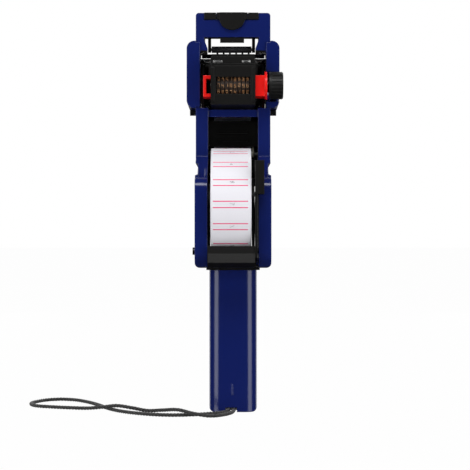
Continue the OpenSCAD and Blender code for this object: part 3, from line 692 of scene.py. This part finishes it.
def soften(name, width, clearance=0):
    """Real rounding of a moulding's sharp edges, and a little room where it passes a neighbour closely."""
    obj = nodes[name]
    weld = obj.modifiers.new("weld", "WELD")
    weld.merge_threshold = 0.000004
    if clearance:
        shrink = obj.modifiers.new("shrink", "DISPLACE")
        shrink.strength = -clearance * MM
        shrink.mid_level = 0
    bevel = obj.modifiers.new("round", "BEVEL")
    bevel.width = width * MM
    bevel.segments = 2
    bevel.limit_method = "ANGLE"
    bevel.angle_limit = math.radians(SHARP)
    bevel.harden_normals = True
    bevel.use_clamp_overlap = True
    # long flat faces keep one even reflection from end to end
    flatten = obj.modifiers.new("flatten", "WEIGHTED_NORMAL")
    flatten.mode = "FACE_AREA"
    flatten.weight = 50
    flatten.keep_sharp = True


EDGE_WIDTHS = {
    "head_housing": 0.35,
    "clip_left": 0.3,
    "clip_right": 0.3,
    "base_cover": 0.3,
    "holder_tab": 0.3,
    "roll_holder": 0.25,
    "head_cover_left": 0.3,
    "head_cover_right": 0.3,
    "cover_latch": 0.2,
    "nose_cap": 0.25,
    "main_frame": 0.3,
    "trigger": 0.3,
}
for name, width in EDGE_WIDTHS.items():
    # the right clip would touch the head cover's notch when the trigger is squeezed
    soften(name, width, clearance=0.15 if name == "clip_right" else 0)

# ---- floor, light and surroundings ----

FLOOR_Z = -0.0001
corners = [(-6, -3, FLOOR_Z), (6, -3, FLOOR_Z), (6, 9, FLOOR_Z), (-6, 9, FLOOR_Z)]
floor_mesh = bpy.data.meshes.new("floor")
floor_mesh.from_pydata(corners, [], [(0, 1, 2, 3)])
floor = bpy.data.objects.new("floor", floor_mesh)
bpy.context.scene.collection.objects.link(floor)
floor_nodes = Nodes("floor_pale")
floor_gloss = floor_nodes.span(floor_nodes.noise(3, 2), 0.3, 0.7, 0.5, 0.6)
floor_mesh.materials.append(floor_nodes.finish((0.32, 0.32, 0.32), floor_gloss))
# the low side lights show on the handle down to its end, where the floor's reflection would hide them
floor.visible_glossy = False
floor.visible_shadow = False

world = bpy.data.worlds.new("studio")
bpy.context.scene.world = world
world.use_nodes = True
sky = world.node_tree
backdrop = sky.nodes["Background"]
backdrop.inputs[0].default_value = (1, 1, 1, 1)
backdrop.inputs[1].default_value = BACKDROP
ambient = sky.nodes.new("ShaderNodeBackground")
ambient.inputs[0].default_value = (0.95, 0.97, 1, 1)
ambient.inputs[1].default_value = AMBIENT
path = sky.nodes.new("ShaderNodeLightPath")
either = sky.nodes.new("ShaderNodeMixShader")
sky.links.new(path.outputs["Is Camera Ray"], either.inputs[0])
sky.links.new(ambient.outputs[0], either.inputs[1])
sky.links.new(backdrop.outputs[0], either.inputs[2])
sky.links.new(either.outputs[0], sky.nodes["World Output"].inputs["Surface"])

# the floor shows as the same white, with faint contact shadows left in it
FLOOR_WHITE = 0.985     # share of that white in what the camera sees of the floor
glow = floor_nodes.tree.nodes.new("ShaderNodeEmission")
glow.inputs[0].default_value = (1, 1, 1, 1)
glow.inputs[1].default_value = BACKDROP
seen = floor_nodes.tree.nodes.new("ShaderNodeLightPath")
share = floor_nodes.math("MULTIPLY", seen.outputs["Is Camera Ray"], FLOOR_WHITE)
blend = floor_nodes.tree.nodes.new("ShaderNodeMixShader")
floor_nodes.put(blend.inputs[0], share)
floor_nodes.put(blend.inputs[1], floor_nodes.bsdf.outputs[0])
floor_nodes.put(blend.inputs[2], glow.outputs[0])
floor_nodes.put(floor_nodes.out.inputs["Surface"], blend.outputs[0])

AIM = Vector((0, 0, 0.1))
LIGHTS = (
    # name, place, size across and up, power in watts
    ("left_box", (-0.66, -0.61, 0.1), (0.6, 0.6), 3.5),
    ("right_box", (0.66, -0.61, 0.1), (0.6, 0.6), 3.4),
    ("front_box", (0, -0.75, 0.95), (0.7, 0.4), 6),
    ("left_fill", (-1.0, 0.05, 0.95), (1.4, 0.8), 6.5),
    ("right_fill", (1.0, 0.05, 0.95), (1.4, 0.8), 6.5),
    ("left_rim", (-0.45, 0.75, 0.1), (0.5, 0.6), 1.5),
    ("right_rim", (0.45, 0.75, 0.1), (0.5, 0.6), 1.5),
    ("back_box", (0, 0.72, 1.0), (1.2, 0.6), 7),
)
for name, place, size, power in LIGHTS:
    lamp = bpy.data.lights.new(name, "AREA")
    lamp.shape = "RECTANGLE"
    lamp.size, lamp.size_y = size
    lamp.energy = power
    light = bpy.data.objects.new(name, lamp)
    light.location = place
    light.rotation_euler = (AIM - Vector(place)).to_track_quat("-Z", "Y").to_euler()
    bpy.context.scene.collection.objects.link(light)
